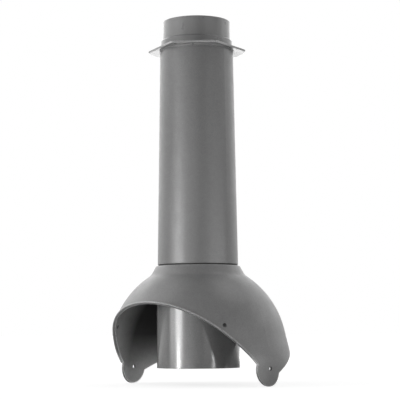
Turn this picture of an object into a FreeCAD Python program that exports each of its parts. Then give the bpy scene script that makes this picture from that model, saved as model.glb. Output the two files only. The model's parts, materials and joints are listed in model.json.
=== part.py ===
import FreeCAD, Part
import math
import os

# Sewer vent pipe for a pitched roof, as five moulded or extruded pieces: a tapered stack tube, a
# flanged spigot on top of it, a domed skirt that covers the hole in the roof, a plain pipe that comes
# up through the skirt and ends as a stepped neck inside the tube, and a rubber ring under the tube.
# Sizes are in millimetres and angles in degrees. The axis is Z and the origin is on it, at the lower
# end of the plain pipe. The skirt's high arch faces -Y, and its two fixing ears face -X and +X.

# Plain pipe
pipe_diameter = 110.0
pipe_wall = 3.0
pipe_land_thickness = 0.8
pipe_land_length = 13.5
pipe_shoulder_thickness = 3.0
shoulder_seat_width = 4.0
neck_wall = 2.8
neck_insertion = 45.0
neck_chamfer = 1.0

# Roof skirt: dome, straight flare and a lower part that turns to vertical
skirt_wall = 2.6
dome_radius = 117.2
dome_centre_height = 22.9
flare_angle = 13.5
flare_end_height = 28.0
roll_radius = 120.0

# Collar on top of the skirt
collar_rise = 8.4
collar_seat_thickness = 6.0
collar_wall = 2.8
collar_lip_width = 4.0
collar_draft = 28.8
collar_blend_radius = 12.0
collar_edge_chamfer = 0.8

# Lower edge of the skirt: each half is cut square to the wall, by a cone whose tip is the dome's centre.
# A tilt is the cone axis's angle below the horizontal, and a spread is the cone's half angle.
front_edge_tilt = 45.2
front_edge_spread = 76.75
rear_edge_tilt = 66.6
rear_edge_spread = 74.6

# Bead along the front edge
bead_width = 1.6
bead_height = 1.8

# Fixing ears and holes
ear_radius = 21.3
ear_centre_forward = 2.0
ear_centre_height = -0.8
ear_hole_height = 0.4
ear_hole_diameter = 4.8
side_hole_diameter = 4.8
side_hole_height = 55.2
side_hole_angle = 59.0

# Rubber ring between the collar and the tube
seal_thickness = 1.8
seal_setback = 0.9

# Stack tube: how much narrower its lower end is than the plain pipe, and its upper end than its lower
tube_length = 286.9
tube_lower_reduction = 2.8
tube_taper = 8.8
tube_wall = 3.0

# Flanged spigot: an overhang is how far a rim or a flat lies outside the tube's upper end
seat_ring_height = 2.1
seat_ring_overhang = 0.8
flange_thickness = 2.6
flange_overhang = 16.8
flange_edge_chamfer = 0.6
front_flat_overhang = 11.1
front_flat_angle = -51.5
side_flat_overhang = 5.4
side_flat_step = 61.0
step_ring_width = 2.8
step_ring_height = 11.7
step_ring_chamfer = 1.8
spigot_setback = 4.1
spigot_wall = 2.8
spigot_height = 25.1
plug_length = 30.0
plug_wall = 2.8
plug_chamfer = 1.0

# Clearances, each on the radius
pipe_in_collar_clearance = 0.4
neck_in_collar_clearance = 0.3
neck_in_tube_clearance = 0.3
seal_on_neck_clearance = 0.2
plug_in_tube_clearance = 0.3

# Sizes that follow from the ones above
pipe_radius = pipe_diameter / 2
tube_lower_radius = (pipe_diameter - tube_lower_reduction) / 2
tube_upper_radius = tube_lower_radius - tube_taper / 2
tube_slope = (tube_lower_radius - tube_upper_radius) / tube_length
tube_lower_bore = tube_lower_radius - tube_wall
tube_upper_bore = tube_upper_radius - tube_wall
neck_radius = tube_lower_bore - neck_in_tube_clearance
neck_bore = neck_radius - neck_wall
neck_hole = neck_radius + neck_in_collar_clearance
pipe_land_radius = max(pipe_radius + pipe_land_thickness, neck_hole + shoulder_seat_width)
pipe_hole = pipe_land_radius + pipe_in_collar_clearance
collar_slope = math.tan(math.radians(collar_draft))
collar_seat_radius = pipe_hole + collar_wall
collar_radius = max(collar_seat_radius - collar_seat_thickness * collar_slope, neck_hole + collar_lip_width)
dome_height_at_collar = dome_centre_height + math.sqrt(dome_radius ** 2 - collar_radius ** 2)
collar_top_height = dome_height_at_collar + collar_rise
pipe_shoulder_height = collar_top_height - collar_seat_thickness
tube_bottom_height = collar_top_height + seal_thickness
tube_top_height = tube_bottom_height + tube_length
neck_top_height = tube_bottom_height + neck_insertion
neck_top_radius = neck_radius - tube_slope * neck_insertion
plug_radius = tube_upper_bore - plug_in_tube_clearance
plug_bottom_height = tube_top_height - plug_length
seat_ring_radius = tube_upper_radius + seat_ring_overhang
flange_radius = tube_upper_radius + flange_overhang
flange_bottom_height = tube_top_height + seat_ring_height
flange_top_height = flange_bottom_height + flange_thickness
spigot_radius = tube_upper_radius - spigot_setback
step_ring_radius = spigot_radius + step_ring_width
step_ring_top_height = flange_top_height + step_ring_height
spigot_top_height = step_ring_top_height + spigot_height
skirt_reach = 2 * dome_radius
margin = 10.0


def point(radius, height):
    """Point of a profile that is turned about the axis."""
    return FreeCAD.Vector(radius, 0, height)


def turned(points):
    """Solid turned about the axis from a closed outline of straight lines."""
    face = Part.Face(Part.makePolygon(points + [points[0]]))
    return face.revolve(FreeCAD.Vector(0, 0, 0), FreeCAD.Vector(0, 0, 1), 360)


def upright_cylinder(radius, bottom, top):
    return Part.makeCylinder(radius, top - bottom, FreeCAD.Vector(0, 0, bottom))


def cylinder_along_x(radius, y, z):
    """Cylinder that passes through the whole skirt from side to side."""
    start = FreeCAD.Vector(-skirt_reach, y, z)
    return Part.makeCylinder(radius, 2 * skirt_reach, start, FreeCAD.Vector(1, 0, 0))


def line(start, end):
    return Part.LineSegment(start, end).toShape()


def arc(start, middle, end):
    return Part.Arc(start, middle, end).toShape()


def inlet_pipe():
    """Plain pipe with a land that centres the collar, a shoulder that carries it and a tapered neck."""
    inner = pipe_radius - pipe_wall
    ceiling = pipe_shoulder_height - pipe_shoulder_thickness
    land_bottom = pipe_shoulder_height - pipe_land_length
    return turned([
        point(inner, 0),
        point(pipe_radius, 0),
        point(pipe_radius, land_bottom),
        point(pipe_land_radius, land_bottom),
        point(pipe_land_radius, pipe_shoulder_height),
        point(neck_radius, pipe_shoulder_height),
        point(neck_radius, tube_bottom_height),
        point(neck_top_radius + tube_slope * neck_chamfer, neck_top_height - neck_chamfer),
        point(neck_top_radius - neck_chamfer, neck_top_height),
        point(neck_top_radius - neck_wall, neck_top_height),
        point(neck_bore, tube_bottom_height),
        point(neck_bore, ceiling),
        point(inner, ceiling),
    ])


def skirt_body(top_edges, dome_start, inset):
    """Solid skirt, turned from an outline that lies this far inside the outer face.

    The outline runs from the axis over `top_edges` to `dome_start`, then down the dome, the
    straight flare and the lower part, and back to the axis under the skirt.
    """
    turn = math.radians(flare_angle)
    radius = dome_radius - inset
    roll = roll_radius - inset
    start_angle = math.atan2(dome_start.z - dome_centre_height, dome_start.x)
    middle_angle = (start_angle + turn) / 2
    middle = point(radius * math.cos(middle_angle), dome_centre_height + radius * math.sin(middle_angle))
    flare_top = point(radius * math.cos(turn), dome_centre_height + radius * math.sin(turn))
    outer_flare_top_height = dome_centre_height + dome_radius * math.sin(turn)
    flare_run = (outer_flare_top_height - flare_end_height) / math.cos(turn)
    flare_bottom = point(flare_top.x + flare_run * math.sin(turn), flare_top.z - flare_run * math.cos(turn))
    roll_centre = point(flare_bottom.x - roll * math.cos(turn), flare_bottom.z - roll * math.sin(turn))
    roll_middle = roll_centre + point(roll * math.cos(turn / 2), roll * math.sin(turn / 2))
    roll_end = point(roll_centre.x + roll, roll_centre.z)
    bottom = ear_centre_height - ear_radius - margin
    lower_corner = point(roll_end.x, bottom)
    foot = point(0, bottom)
    outline = Part.Wire(top_edges + [
        arc(dome_start, middle, flare_top),
        line(flare_top, flare_bottom),
        arc(flare_bottom, roll_middle, roll_end),
        line(roll_end, lower_corner),
        line(lower_corner, foot),
        line(foot, top_edges[0].firstVertex().Point if top_edges else dome_start),
    ])
    return Part.Face(outline).revolve(FreeCAD.Vector(0, 0, 0), FreeCAD.Vector(0, 0, 1), 360)


def outer_skirt():
    """Solid skirt with its collar, a chamfered cone that a round blend joins to the dome."""
    draft = math.radians(collar_draft)
    down = FreeCAD.Vector(math.sin(draft), 0, -math.cos(draft))
    outward = FreeCAD.Vector(math.cos(draft), 0, math.sin(draft))
    dome_centre = point(0, dome_centre_height)
    rim = point(collar_radius, collar_top_height)
    offset = rim + outward * collar_blend_radius - dome_centre
    reach = dome_radius + collar_blend_radius
    along = -offset.dot(down) - math.sqrt(offset.dot(down) ** 2 - offset.dot(offset) + reach ** 2)
    blend_centre = dome_centre + offset + down * along
    cone_end = blend_centre - outward * collar_blend_radius
    to_dome = (dome_centre - blend_centre).normalize()
    dome_start = blend_centre + to_dome * collar_blend_radius
    halfway = (to_dome - outward).normalize()
    blend_middle = blend_centre + halfway * collar_blend_radius
    top_centre = point(0, collar_top_height)
    chamfer_start = point(collar_radius - collar_edge_chamfer, collar_top_height)
    chamfer_end = rim + down * collar_edge_chamfer
    top_edges = [
        line(top_centre, chamfer_start),
        line(chamfer_start, chamfer_end),
        line(chamfer_end, cone_end),
        arc(cone_end, blend_middle, dome_start),
    ]
    return skirt_body(top_edges, dome_start, 0)


def skirt_cavity():
    """Room inside the skirt: under the dome, round the pipe's land and round the neck."""
    bottom = ear_centre_height - ear_radius - 2 * margin
    top = dome_centre_height + dome_radius + margin
    dome_top = point(0, dome_centre_height + dome_radius - skirt_wall)
    above_seat = upright_cylinder(dome_radius, pipe_shoulder_height, top + margin)
    under_dome = skirt_body([], dome_top, skirt_wall).cut(above_seat)
    round_pipe = upright_cylinder(pipe_hole, bottom, pipe_shoulder_height)
    round_neck = upright_cylinder(neck_hole, bottom, collar_top_height + margin)
    return under_dome.fuse([round_pipe, round_neck])


def below_edge(tilt, spread, side):
    """Cone frustum on a cylinder that holds all of the skirt that lies below one half of the lower edge.

    The cone's tip would be the dome's centre, so that it cuts the wall square. It opens downwards,
    and towards the side of Y that `side` gives.
    """
    angle = math.radians(spread)
    near = dome_radius / 2
    far = skirt_reach
    zone = turned([
        point(0, -near * math.cos(angle)),
        point(near * math.sin(angle), -near * math.cos(angle)),
        point(far * math.sin(angle), -far * math.cos(angle)),
        point(far * math.sin(angle), -far),
        point(0, -far),
    ])
    zone.rotate(FreeCAD.Vector(0, 0, 0), FreeCAD.Vector(1, 0, 0), side * (90 - tilt))
    zone.translate(point(0, dome_centre_height))
    return zone


def below_front(bead=0):
    """All that lies below the front half of the lower edge, or of a line this far up the dome from it."""
    return below_edge(front_edge_tilt, front_edge_spread + math.degrees(bead / dome_radius), -1)


def below_rear():
    return below_edge(rear_edge_tilt, rear_edge_spread, 1)


def ear_disc():
    """Cylinder along X that holds both ears."""
    return cylinder_along_x(ear_radius, -ear_centre_forward, ear_centre_height)


def rim_bead():
    """Solid that makes the skirt thicker along its front edge, from ear to ear."""
    dome_top = point(0, dome_centre_height + dome_radius + bead_height)
    thick = skirt_body([], dome_top, -bead_height)
    return thick.common(below_front(bead_width)).cut(ear_disc())


def screw_holes():
    """One line of holes through both ears, and two holes square to the dome beside the arch."""
    dome_centre = point(0, dome_centre_height)
    tilt = math.asin((side_hole_height - dome_centre_height) / dome_radius)
    outward = FreeCAD.Vector(math.cos(tilt), 0, math.sin(tilt))
    holes = [cylinder_along_x(ear_hole_diameter / 2, 0, ear_hole_height)]
    for angle in (-side_hole_angle, side_hole_angle):
        hole = Part.makeCylinder(side_hole_diameter / 2, skirt_reach, dome_centre, outward)
        hole.rotate(dome_centre, FreeCAD.Vector(0, 0, 1), angle - 90)
        holes.append(hole)
    return holes


def roof_skirt():
    """Domed skirt with an even wall, cut to a saddle below, with two ears and a bead in front."""
    ears = ear_disc()
    skirt = outer_skirt().fuse(rim_bead()).cut(skirt_cavity())
    skirt = skirt.cut(below_front().cut(ears)).cut(below_rear().cut(ears))
    return skirt.cut(screw_holes()).removeSplitter()


def joint_seal():
    """Rubber ring that lies on the collar and carries the tube."""
    inner = neck_radius + seal_on_neck_clearance
    outer = tube_lower_radius - seal_setback
    ring = upright_cylinder(outer, collar_top_height, tube_bottom_height)
    return ring.cut(upright_cylinder(inner, collar_top_height - margin, tube_bottom_height + margin))


def stack_tube():
    """Tapered tube with an even wall."""
    return turned([
        point(tube_lower_bore, tube_bottom_height),
        point(tube_lower_radius, tube_bottom_height),
        point(tube_upper_radius, tube_top_height),
        point(tube_upper_bore, tube_top_height),
    ])


def flange():
    """Thin round plate with chamfered rims and three flats: one in front and one on either side of it."""
    plate = turned([
        point(0, flange_bottom_height),
        point(flange_radius - flange_edge_chamfer, flange_bottom_height),
        point(flange_radius, flange_bottom_height + flange_edge_chamfer),
        point(flange_radius, flange_top_height - flange_edge_chamfer),
        point(flange_radius - flange_edge_chamfer, flange_top_height),
        point(0, flange_top_height),
    ])
    width = 2 * flange_radius
    flats = [
        (front_flat_angle, front_flat_overhang),
        (front_flat_angle - side_flat_step, side_flat_overhang),
        (front_flat_angle + side_flat_step, side_flat_overhang),
    ]
    for angle, overhang in flats:
        corner = FreeCAD.Vector(tube_upper_radius + overhang, -width / 2, flange_bottom_height - margin)
        block = Part.makeBox(width, width, flange_thickness + 2 * margin, corner)
        block.rotate(FreeCAD.Vector(0, 0, 0), FreeCAD.Vector(0, 0, 1), angle)
        plate = plate.cut(block)
    return plate


def flanged_spigot():
    """Plug that fills the tube's top, seat ring, flange, step ring and open spigot, moulded as one."""
    plug_bore = plug_radius - plug_wall
    spigot_bore = spigot_radius - spigot_wall
    body = turned([
        point(plug_bore, plug_bottom_height),
        point(plug_radius - plug_chamfer, plug_bottom_height),
        point(plug_radius, plug_bottom_height + plug_chamfer),
        point(plug_radius, tube_top_height),
        point(seat_ring_radius, tube_top_height),
        point(seat_ring_radius, flange_bottom_height),
        point(step_ring_radius, flange_bottom_height),
        point(step_ring_radius, step_ring_top_height - step_ring_chamfer),
        point(step_ring_radius - step_ring_chamfer, step_ring_top_height),
        point(spigot_radius, step_ring_top_height),
        point(spigot_radius, spigot_top_height),
        point(spigot_bore, spigot_top_height),
        point(spigot_bore, flange_top_height),
        point(plug_bore, flange_top_height),
    ])
    hollow = upright_cylinder(spigot_radius, tube_top_height, step_ring_top_height)
    return body.fuse(flange().cut(hollow)).removeSplitter()


def save(name, shape):
    """Write one piece, after a look at whether it is one sound solid."""
    count = len(shape.Solids)
    if count != 1 or not shape.isValid():
        print("Not one sound solid:", name, count, shape.isValid())
    solid = shape.Solids[0]
    solid.exportStep("parts/" + name + ".step")
    print(name, round(solid.Volume), "cubic mm")


os.makedirs("parts", exist_ok=True)
save("inlet_pipe", inlet_pipe())
save("roof_skirt", roof_skirt())
save("joint_seal", joint_seal())
save("stack_tube", stack_tube())
save("flanged_spigot", flanged_spigot())
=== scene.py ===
import json
import math

import bpy
from mathutils import Matrix, Vector


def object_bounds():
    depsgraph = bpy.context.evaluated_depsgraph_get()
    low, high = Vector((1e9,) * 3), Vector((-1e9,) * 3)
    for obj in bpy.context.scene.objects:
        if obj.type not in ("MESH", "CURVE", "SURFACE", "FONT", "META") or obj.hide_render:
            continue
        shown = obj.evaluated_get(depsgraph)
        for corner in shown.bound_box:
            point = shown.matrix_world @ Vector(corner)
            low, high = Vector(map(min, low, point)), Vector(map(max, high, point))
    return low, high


# Looks of a sewer vent pipe for a pitched roof: camera, studio and the finish of its five pieces.
# Lengths are in metres and angles in degrees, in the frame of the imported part: Z is up along the
# pipe's axis. A colour, a glow or a radiance of 1 is white.

# Camera, as it stood for the photograph
CAMERA_DISTANCE = 1.80304
CAMERA_HEIGHT = 0.0456
CAMERA_AZIMUTH = -48.0
CAMERA_YAW = 0.1067
CAMERA_PITCH = 5.6227
CAMERA_ROLL = -0.37
CAMERA_LENS_MM = 121.65
CAMERA_SENSOR_MM = 36.0

# Floor: its colour as the camera sees it, and as the light that bounces off it does
FLOOR_SIZE = 60.0
FLOOR_GAP = 0.0004
FLOOR_COLOUR = 0.30
FLOOR_BOUNCE = 0.12

# Floor's glow for the camera, by distance from the object
GLOW_NEAR = 0.80
GLOW_FAR = 1.0
GLOW_STARTS = 0.9
GLOW_ENDS = 1.7

# Floor's glow in reflections, by distance behind the object: a white sweep with a brighter part
SWEEP_GLOW = 2.0
SWEEP_FAR_GLOW = 1.0
SWEEP_STARTS = 1.0
SWEEP_BRIGHT = 1.8
SWEEP_FADES = 2.6
SWEEP_ENDS = 4.0

# World: its light, and what reflections show of it in front of the object and behind
WORLD_LIGHT = 0.23
ROOM_REFLECTED = 0.0
BACKDROP_REFLECTED = 1.0
BACKDROP_STARTS = -0.1
BACKDROP_FULL = 0.4

# Soft boxes: distances from the axis, and the heights that they reach from and to
FAR = 1.8
NEAR = 0.8
LOW_BAND = (-0.02, 0.36)
FOOT_BAND = (-0.02, 0.10)
SOLE_BAND = (-0.02, 0.03)
HEEL_BAND = (-0.02, 0.0)
KNEE_BAND = (0.22, 0.30)
UPPER_BAND = (0.36, 0.90)
SHOULDER_BAND = (0.70, 0.95)
HEAD_BAND = (0.70, 1.00)
LEFT_HEAD_BAND = (0.72, 1.00)
TOP_BAND = (0.90, 1.80)

# Panels over the object
PANEL_SIDE = 1.0
PANEL_DISTANCE = 1.0
PANEL_HEIGHT = 1.9
PANEL_AIM = 0.15

# Panels on the floor: four round the object, and one far behind it for the flange's underside
TABLE_DISTANCE = 0.67
TABLE_DEEP = 0.90
TABLE_WIDE = 0.55
TABLE_LIFT = 0.0005
BACK_DISTANCE = 2.25
BACK_DEEP = 1.50
BACK_WIDE = 0.90

# Finishes: grey levels of the pieces
PIPE_GREY = 0.133
SPIGOT_GREY = 0.133
SKIRT_GREY = 0.118
TUBE_GREY = 0.109
SEAL_GREY = 0.019

# Finishes: from and to what the roughness varies over each piece
PIPE_ROUGHNESS = (0.13, 0.18)
SPIGOT_ROUGHNESS = (0.27, 0.33)
SKIRT_ROUGHNESS = (0.34, 0.42)
TUBE_ROUGHNESS = (0.32, 0.40)
SEAL_ROUGHNESS = (0.6, 0.8)
PLASTIC_IOR = 1.58

# Grains to the metre of the fine texture, and depths of relief
SKIRT_GRAIN = 1300.0
TUBE_GRAIN = 1500.0
COARSE_GRAIN = 0.3
GRAIN_DEPTH = 0.00004
WAVE_DEPTH = 0.00004
LINE_DEPTH = 0.00001
PEEL_DEPTH = 0.000015
DUST_DEPTH = 0.000005
RUBBER_DEPTH = 0.00010

# The part of a noise's range that most of it lies in
NOISE_LOW = 0.3
NOISE_HIGH = 0.7

# Scuffs on the pipe: the noise at which they start and are full, and what they add
SCUFF_STARTS = 0.62
SCUFF_FULL = 0.72
SCUFF_LIGHTER = 1.08
SCUFF_ROUGHER = 0.10

# Edges: rounded a little, and with a painted highlight where a wider rounding would turn the surface. The two
# values are the share of the plain normal at which the painted highlight is full, and is gone.
EDGE_RADIUS = 0.0008
EDGE_SAMPLES = 4
EDGE_LINE = 0.0025
EDGE_FULL = 0.88
EDGE_GONE = 0.99
SKIRT_EDGE_PAINTED_HIGHLIGHT = 2.8
FLANGE_EDGE_PAINTED_HIGHLIGHT = 2.6

# The flange's painted edge highlight: its heights, and how far forward its flat front is and its round starts
FLANGE_BOTTOM = 0.4252
FLANGE_TOP = 0.4278
FLANGE_MARGIN = 0.0003
FLANGE_ROUND = 0.030
FLANGE_FLAT = 0.046

# Skirt's inside: how much painted light its rim and its front get, and how much painted shade darkens the
# hollow
INWARD_MARGIN = 0.02
HOLLOW_PAINTED_SHADE = 0.25
RIM_HEIGHT = 0.045
RIM_PAINTED_LIGHT = 3.6
FRONT_AZIMUTH = -60.0
FRONT_PAINTED_LIGHT_FULL = -0.011
FRONT_PAINTED_LIGHT_GONE = -0.051
FRONT_PAINTED_LIGHT = 5.0
INSIDE_PAINTED_LIGHT_MOST = 5.5

# Screw holes, by distance from their middles: no painted edge highlight near them, and painted shade in the
# bore
HOLE_NEAR = 0.0055
HOLE_FAR = 0.0070
BORE_WALL = 0.0027
BORE_RIM = 0.0032
BORE_PAINTED_SHADE = 0.15

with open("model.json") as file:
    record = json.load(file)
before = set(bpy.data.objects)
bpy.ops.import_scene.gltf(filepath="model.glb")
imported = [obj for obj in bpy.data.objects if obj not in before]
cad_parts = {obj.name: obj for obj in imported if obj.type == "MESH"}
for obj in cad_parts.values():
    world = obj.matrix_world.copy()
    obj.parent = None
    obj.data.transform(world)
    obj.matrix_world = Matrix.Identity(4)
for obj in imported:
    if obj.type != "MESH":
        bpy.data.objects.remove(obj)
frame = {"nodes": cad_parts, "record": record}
cad_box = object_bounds()
nodes = frame["nodes"]
screw_holes = [mount["pos_m"] for mount in frame["record"]["mounts"] if "hole" in mount["name"]]


def heading(azimuth):
    """Level vector of length 1 towards an azimuth."""
    angle = math.radians(azimuth)
    return Vector((math.cos(angle), math.sin(angle), 0))


class Nodes:
    """A node tree, with short calls to add nodes to it."""

    def __init__(self, tree):
        self.tree = tree

    def add(self, kind, **settings):
        node = self.tree.nodes.new(kind)
        for key, value in settings.items():
            setattr(node, key, value)
        return node

    def join(self, source, target):
        """Feeds a socket from another one, or gives it a fixed value."""
        if isinstance(source, bpy.types.NodeSocket):
            self.tree.links.new(source, target)
        else:
            target.default_value = source

    def coordinates(self, kind):
        return self.add("ShaderNodeTexCoord").outputs[kind]

    def ramp(self, value, low, high, at_low, at_high, curve="LINEAR"):
        """Goes from at_low where value is low, to at_high where it is high, and is flat beyond."""
        node = self.add("ShaderNodeMapRange", interpolation_type=curve)
        self.join(value, node.inputs["Value"])
        self.join(low, node.inputs["From Min"])
        self.join(high, node.inputs["From Max"])
        self.join(at_low, node.inputs["To Min"])
        self.join(at_high, node.inputs["To Max"])
        return node.outputs["Result"]

    def combine(self, operation, first, second):
        """Math node on two values."""
        node = self.add("ShaderNodeMath", operation=operation)
        self.join(first, node.inputs[0])
        self.join(second, node.inputs[1])
        return node.outputs["Value"]

    def product(self, *factors):
        value = factors[0]
        for factor in factors[1:]:
            value = self.combine("MULTIPLY", value, factor)
        return value

    def measure(self, operation, first, *second):
        """Number from a vector math node on one vector or two."""
        node = self.add("ShaderNodeVectorMath", operation=operation)
        for vector, socket in zip((first, *second), node.inputs):
            self.join(vector, socket)
        return node.outputs["Value"]

    def blend(self, share, first, second):
        """First where share is 0, and second where it is 1."""
        node = self.add("ShaderNodeMix")
        self.join(share, node.inputs["Factor"])
        self.join(first, node.inputs["A"])
        self.join(second, node.inputs["B"])
        return node.outputs["Result"]

    def seen_by(self, *rays):
        """1 for these kinds of ray, and 0 for the others."""
        path = self.add("ShaderNodeLightPath")
        total = path.outputs[rays[0]]
        for ray in rays[1:]:
            total = self.combine("MAXIMUM", total, path.outputs[ray])
        return total

    def behind_object(self, vector, starts, ends):
        """0 in front of the object and 1 behind it, as the photo's camera stands, by a vector's share."""
        share = self.measure("DOT_PRODUCT", vector, heading(CAMERA_AZIMUTH + 180))
        return self.ramp(share, starts, ends, 0.0, 1.0, "SMOOTHSTEP")


class Finish(Nodes):
    """Material of a piece, whose colour, roughness and relief depend on the place on it."""

    def __init__(self, name):
        self.material = bpy.data.materials.new(name)
        self.material.use_nodes = True
        super().__init__(self.material.node_tree)
        self.surface = self.tree.nodes["Principled BSDF"]
        self.place = self.coordinates("Object")

    def plain_normal(self):
        return self.add("ShaderNodeNewGeometry").outputs["Normal"]

    def rounded_normal(self, radius):
        node = self.add("ShaderNodeBevel", samples=EDGE_SAMPLES)
        self.join(radius, node.inputs["Radius"])
        return node.outputs["Normal"]

    def noise(self, scale, detail=2.0, roughness=0.5):
        """Noise from 0 to 1, with this many features to the metre, the same way round or by axis."""
        node = self.add("ShaderNodeTexNoise")
        place = self.place
        if isinstance(scale, tuple):
            mapping = self.add("ShaderNodeMapping")
            self.join(place, mapping.inputs["Vector"])
            self.join(scale, mapping.inputs["Scale"])
            place = mapping.outputs["Vector"]
            scale = 1.0
        self.join(place, node.inputs["Vector"])
        self.join(scale, node.inputs["Scale"])
        self.join(detail, node.inputs["Detail"])
        self.join(roughness, node.inputs["Roughness"])
        return node.outputs["Fac"]

    def varied(self, lowest, highest, scale, detail=2.0, roughness=0.5):
        """Value that a noise moves between a lowest and a highest one."""
        return self.ramp(self.noise(scale, detail, roughness), NOISE_LOW, NOISE_HIGH, lowest, highest)

    def lifted(self, share, most):
        """Factor of 1 where share is 0, and of most where it is 1."""
        return self.ramp(share, 0.0, 1.0, 1.0, most)

    def along(self, axis):
        """Place on one axis."""
        parts = self.add("ShaderNodeSeparateXYZ")
        self.join(self.place, parts.inputs["Vector"])
        return parts.outputs[axis]

    def towards(self, azimuth):
        """How far the place lies from the axis towards an azimuth."""
        return self.measure("DOT_PRODUCT", self.place, heading(azimuth))

    def edges(self):
        """1 on the edges and 0 on the faces, from how far the rounded normal leans from the plain one: the
        mask for the painted edge highlight.
        """
        lean = self.measure("DOT_PRODUCT", self.rounded_normal(EDGE_LINE), self.plain_normal())
        return self.ramp(lean, EDGE_FULL, EDGE_GONE, 1.0, 0.0)

    def inside(self):
        """Factor of 1 on the skirt's outside, and inside it painted light on the rim and front, and painted
        shade in the hollow.
        """
        level_place = self.add("ShaderNodeVectorMath", operation="MULTIPLY")
        self.join(self.place, level_place.inputs[0])
        self.join((1, 1, 0), level_place.inputs[1])
        outward = self.measure("DOT_PRODUCT", level_place.outputs["Vector"], self.plain_normal())
        inner = self.ramp(outward, -INWARD_MARGIN, 0.0, 1.0, 0.0)
        # Painted light near the bottom rim and on the front, over painted shade in the hollow, capped at the
        # most painted light
        rim = self.ramp(self.along("Z"), 0.0, RIM_HEIGHT, RIM_PAINTED_LIGHT, 0.0)
        front = self.ramp(self.towards(FRONT_AZIMUTH), FRONT_PAINTED_LIGHT_GONE, FRONT_PAINTED_LIGHT_FULL, 0.0, FRONT_PAINTED_LIGHT)
        level = self.combine("ADD", self.combine("ADD", rim, front), HOLLOW_PAINTED_SHADE)
        return self.blend(inner, 1.0, self.combine("MINIMUM", level, INSIDE_PAINTED_LIGHT_MOST))

    def off_holes(self, near, far, at_hole):
        """Factor of at_hole up to a near distance from a screw hole's middle, and of 1 from a far one."""
        gaps = [self.measure("DISTANCE", self.place, middle) for middle in screw_holes]
        return self.product(*[self.ramp(gap, near, far, at_hole, 1.0) for gap in gaps])

    def grey(self, level, *factors):
        """Base colour: a grey level times each of the factors."""
        value = self.product(*factors, level)
        colour = self.add("ShaderNodeCombineColor")
        for channel in ("Red", "Green", "Blue"):
            self.join(value, colour.inputs[channel])
        self.join(colour.outputs["Color"], self.surface.inputs["Base Color"])

    def rough(self, value):
        self.join(value, self.surface.inputs["Roughness"])

    def plastic(self):
        self.join(PLASTIC_IOR, self.surface.inputs["IOR"])

    def bump(self, *layers):
        """Relief from pairs of height and depth, on a surface whose edges are slightly rounded."""
        normal = self.rounded_normal(EDGE_RADIUS)
        for height, depth in layers:
            node = self.add("ShaderNodeBump")
            self.join(depth, node.inputs["Distance"])
            self.join(height, node.inputs["Height"])
            self.join(normal, node.inputs["Normal"])
            normal = node.outputs["Normal"]
        self.join(normal, self.surface.inputs["Normal"])

    def dress(self, name):
        slots = nodes[name].data.materials
        slots.clear()
        slots.append(self.material)


def pipe_finish():
    """Extruded drain pipe: smooth and glossy, with faint lines along its length and a few scuffs."""
    s = Finish("pipe_finish")
    clouds = s.varied(0.95, 1.05, scale=14.0, detail=3.0)
    speckle = s.varied(0.78, 1.22, scale=1400.0)
    streaks = s.noise((120.0, 120.0, 900.0), detail=4.0, roughness=0.65)
    scuffs = s.ramp(streaks, SCUFF_STARTS, SCUFF_FULL, 0.0, 1.0)
    s.grey(PIPE_GREY, clouds, speckle, s.lifted(scuffs, SCUFF_LIGHTER))
    polish = s.varied(*PIPE_ROUGHNESS, scale=45.0, detail=3.0)
    s.rough(s.combine("ADD", polish, s.combine("MULTIPLY", scuffs, SCUFF_ROUGHER)))
    s.plastic()
    s.bump((s.noise((900.0, 900.0, 6.0)), LINE_DEPTH), (s.noise(160.0), WAVE_DEPTH))
    s.dress("inlet_pipe")


def spigot_finish():
    """Injection moulded cap: semi-gloss, with a slight orange peel, flow clouds and a painted highlight on
    the flange's front edge.
    """
    s = Finish("spigot_finish")
    clouds = s.varied(0.94, 1.06, scale=22.0, detail=3.0)
    speckle = s.varied(0.97, 1.03, scale=1800.0, detail=1.0)
    # Painted highlight on the flange's front edge, on the side towards the camera, broken up by a noise
    above = s.ramp(s.along("Z"), FLANGE_BOTTOM - FLANGE_MARGIN, FLANGE_BOTTOM, 0.0, 1.0)
    below = s.ramp(s.along("Z"), FLANGE_TOP, FLANGE_TOP + FLANGE_MARGIN, 1.0, 0.0)
    front = s.ramp(s.towards(CAMERA_AZIMUTH), FLANGE_ROUND, FLANGE_FLAT, 0.0, 1.0)
    highlight_speckle = s.varied(0.7, 1.3, scale=700.0, detail=3.0, roughness=0.7)
    rim = s.product(s.edges(), above, below, front, highlight_speckle)
    s.grey(SPIGOT_GREY, clouds, speckle, s.lifted(rim, FLANGE_EDGE_PAINTED_HIGHLIGHT))
    s.rough(s.varied(*SPIGOT_ROUGHNESS, scale=60.0, detail=3.0))
    s.plastic()
    s.bump((s.noise(420.0), PEEL_DEPTH), (s.noise(1500.0, detail=1.0), DUST_DEPTH))
    s.dress("flanged_spigot")


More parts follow.
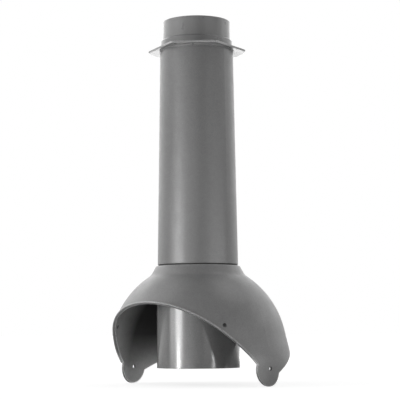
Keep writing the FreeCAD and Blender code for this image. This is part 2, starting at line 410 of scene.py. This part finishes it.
def grained_finish(name, node, level, grain, roughness, moulded=False):
    """Matte plastic with a fine even grain that catches the light.

    The moulded skirt also has a painted highlight on its edges, painted shade in its screw holes, and an
    inside with painted light on the rim and front and painted shade in the hollow.
    """
    s = Finish(name)
    clouds = s.varied(0.95, 1.05, scale=9.0, detail=4.0)
    mottle = s.varied(0.96, 1.04, scale=150.0, detail=3.0)
    speckle = s.varied(0.76, 1.24, scale=grain)
    factors = [clouds, mottle, speckle]
    if moulded:
        # Painted highlight along the skirt's edges, kept off the screw holes
        edges = s.product(s.edges(), s.off_holes(HOLE_NEAR, HOLE_FAR, 0.0))
        # Painted shade on the walls of the screw holes' bores
        painted_bore_shade = s.off_holes(BORE_WALL, BORE_RIM, BORE_PAINTED_SHADE)
        # The inside gets painted light on its rim and front and painted shade in its hollow
        factors += [s.lifted(edges, SKIRT_EDGE_PAINTED_HIGHLIGHT), s.inside(), painted_bore_shade]
    s.grey(level, *factors)
    s.rough(s.varied(*roughness, scale=70.0, detail=3.0))
    s.plastic()
    s.bump((s.noise(grain), GRAIN_DEPTH), (s.noise(grain * COARSE_GRAIN), GRAIN_DEPTH))
    s.dress(node)


def seal_finish():
    """Black rubber, dull and slightly dusty."""
    s = Finish("seal_finish")
    s.grey(SEAL_GREY, s.varied(0.8, 1.4, scale=300.0, detail=3.0))
    s.rough(s.varied(*SEAL_ROUGHNESS, scale=500.0))
    s.bump((s.noise(900.0), RUBBER_DEPTH))
    s.dress("joint_seal")


def white_world():
    """Studio with a white backdrop behind the object and a darker room in front of it.

    The camera sees white all round, reflections show the backdrop where it stands, and the rays
    that only carry light get a plain level from everywhere.
    """
    world = bpy.data.worlds.new("studio")
    bpy.context.scene.world = world
    world.use_nodes = True
    t = Nodes(world.node_tree)
    background = t.tree.nodes["Background"]
    t.join((1, 1, 1, 1), background.inputs["Color"])
    backdrop = t.behind_object(t.coordinates("Generated"), BACKDROP_STARTS, BACKDROP_FULL)
    reflected = t.blend(backdrop, ROOM_REFLECTED, BACKDROP_REFLECTED)
    level = t.blend(t.seen_by("Is Glossy Ray"), WORLD_LIGHT, reflected)
    level = t.blend(t.seen_by("Is Camera Ray", "Is Transmission Ray"), level, 1.0)
    t.join(level, background.inputs["Strength"])


def studio_floor():
    """Pale paper that looks white to the camera and keeps the object's shadow.

    Reflections see it white only where it is well behind the object, as the backdrop's sweep.
    """
    half = FLOOR_SIZE / 2
    height = cad_box[0].z - FLOOR_GAP
    mesh = bpy.data.meshes.new("floor")
    corners = [(-half, -half, height), (half, -half, height), (half, half, height), (-half, half, height)]
    mesh.from_pydata(corners, [], [(0, 1, 2, 3)])
    floor = bpy.data.objects.new("floor", mesh)
    bpy.context.scene.collection.objects.link(floor)
    material = bpy.data.materials.new("floor_paper")
    material.use_nodes = True
    t = Nodes(material.node_tree)
    paper = t.tree.nodes["Principled BSDF"]
    t.join(1.0, paper.inputs["Roughness"])
    t.join(0.0, paper.inputs["Specular IOR Level"])
    t.join((1, 1, 1, 1), paper.inputs["Emission Color"])
    place = t.coordinates("Object")
    sweep = t.blend(t.behind_object(place, SWEEP_STARTS, SWEEP_BRIGHT), 0.0, SWEEP_GLOW)
    sweep = t.blend(t.behind_object(place, SWEEP_FADES, SWEEP_ENDS), sweep, SWEEP_FAR_GLOW)
    reflected = t.blend(t.seen_by("Is Glossy Ray"), 0.0, sweep)
    seen = t.ramp(t.measure("LENGTH", place), GLOW_STARTS, GLOW_ENDS, GLOW_NEAR, GLOW_FAR)
    eye = t.seen_by("Is Camera Ray", "Is Transmission Ray")
    t.join(t.blend(eye, reflected, seen), paper.inputs["Emission Strength"])
    t.join(t.blend(eye, FLOOR_BOUNCE, FLOOR_COLOUR), paper.inputs["Base Color"])
    mesh.materials.append(material)


def area_lamp(name, width, depth, radiance, place, rotation):
    """Rectangular lamp that the camera doesn't see."""
    data = bpy.data.lights.new(name, "AREA")
    data.shape = "RECTANGLE"
    data.size = width
    data.size_y = depth
    data.energy = math.pi * width * depth * radiance
    lamp = bpy.data.objects.new(name, data)
    bpy.context.scene.collection.objects.link(lamp)
    lamp.location = place
    lamp.rotation_euler = rotation
    lamp.visible_camera = False


def soft_box(name, off_camera, spread, band, radiance, distance=FAR):
    """Upright soft box that faces the object's axis.

    It stands off_camera degrees round the axis from the camera, with minus on the photo's left. It
    spans spread degrees as the axis sees it, and a band of heights.
    """
    out = heading(CAMERA_AZIMUTH + off_camera)
    bottom, top = band
    width = 2 * distance * math.tan(math.radians(spread / 2))
    place = distance * out + Vector((0, 0, (bottom + top) / 2))
    area_lamp(name, width, top - bottom, radiance, place, (-out).to_track_quat("-Z", "Y").to_euler())


def overhead_panel(name, off_camera, radiance):
    """Square panel above the object and to one side, that faces the object's middle."""
    place = PANEL_DISTANCE * heading(CAMERA_AZIMUTH + off_camera) + Vector((0, 0, PANEL_HEIGHT))
    aim = Vector((0, 0, PANEL_AIM)) - place
    area_lamp(name, PANEL_SIDE, PANEL_SIDE, radiance, place, aim.to_track_quat("-Z", "Y").to_euler())


def table_panel(name, off_camera, radiance, distance=TABLE_DISTANCE, deep=TABLE_DEEP, wide=TABLE_WIDE):
    """Lit panel that lies on the floor and shines up, with its deep side pointing at the object."""
    azimuth = CAMERA_AZIMUTH + off_camera
    place = distance * heading(azimuth) + Vector((0, 0, cad_box[0].z + TABLE_LIFT))
    area_lamp(name, deep, wide, radiance, place, (math.pi, 0, math.radians(azimuth)))


def studio_lights():
    """Bright low boxes on either side of the camera, dimmer ones elsewhere, and panels over and under."""
    soft_box("left_box", -60, 50, LOW_BAND, 2.0)
    soft_box("left_core", -55, 20, LOW_BAND, 7.0)
    soft_box("left_strip", -56, 4, LOW_BAND, 1.2)
    soft_box("left_knee", -58, 34, KNEE_BAND, 17.2)
    soft_box("left_foot", -60, 40, FOOT_BAND, 2.0, NEAR)
    soft_box("left_sole", -56, 4, SOLE_BAND, 9.0, NEAR)
    soft_box("left_heel", -54, 9, HEEL_BAND, 56.0, NEAR)
    soft_box("left_inner", -25, 20, LOW_BAND, 1.2)
    soft_box("front_fill", 0, 30, LOW_BAND, 0.62)
    soft_box("right_inner", 25, 20, LOW_BAND, 1.7)
    soft_box("right_box", 60, 50, LOW_BAND, 3.9)
    soft_box("right_foot", 60, 40, FOOT_BAND, 2.7, NEAR)
    soft_box("right_strip", 40, 6, FOOT_BAND, 7.8, NEAR)
    soft_box("left_upper", -30, 60, UPPER_BAND, 1.2)
    soft_box("right_high", 85, 50, SHOULDER_BAND, 1.2)
    soft_box("right_top", 43, 34, HEAD_BAND, 1.3)
    soft_box("left_top", -68, 40, LEFT_HEAD_BAND, 0.94)
    soft_box("rear_left", -150, 60, UPPER_BAND, 0.62)
    soft_box("rear_right", 150, 60, UPPER_BAND, 0.55)
    soft_box("side_top_left", -75, 30, TOP_BAND, 2.3)
    soft_box("side_top_right", 75, 30, TOP_BAND, 0.47)
    soft_box("rear_top_left", -135, 90, TOP_BAND, 1.5)
    soft_box("rear_top_right", 135, 90, TOP_BAND, 0.70)
    overhead_panel("panel_left", -90, 1.2)
    overhead_panel("panel_right", 90, 1.6)
    table_panel("table_left", -90, 0.47)
    table_panel("table_front", -45, 3.1)
    table_panel("table_right", 90, 0.78)
    table_panel("table_rear", 180, 2.3)
    table_panel("table_back", 180, 2.4, BACK_DISTANCE, BACK_DEEP, BACK_WIDE)


def photo_camera():
    """Camera at the photographer's place: it looks at the axis, then turns, tilts and rolls a little."""
    data = bpy.data.cameras.new("camera")
    data.sensor_width = CAMERA_SENSOR_MM
    data.lens = CAMERA_LENS_MM
    camera = bpy.data.objects.new("camera", data)
    bpy.context.scene.collection.objects.link(camera)
    place = CAMERA_DISTANCE * heading(CAMERA_AZIMUTH) + Vector((0, 0, CAMERA_HEIGHT))
    turn = Matrix.Rotation(math.radians(90 + CAMERA_AZIMUTH - CAMERA_YAW), 4, "Z")
    tilt = Matrix.Rotation(math.radians(90 + CAMERA_PITCH), 4, "X")
    roll = Matrix.Rotation(math.radians(CAMERA_ROLL), 4, "Z")
    camera.matrix_world = Matrix.Translation(place) @ turn @ tilt @ roll
    bpy.context.scene.camera = camera


pipe_finish()
spigot_finish()
grained_finish("skirt_finish", "roof_skirt", SKIRT_GREY, SKIRT_GRAIN, SKIRT_ROUGHNESS, moulded=True)
grained_finish("tube_finish", "stack_tube", TUBE_GREY, TUBE_GRAIN, TUBE_ROUGHNESS)
seal_finish()
white_world()
studio_floor()
studio_lights()
photo_camera()

bpy.context.scene.view_settings.view_transform = "Standard"
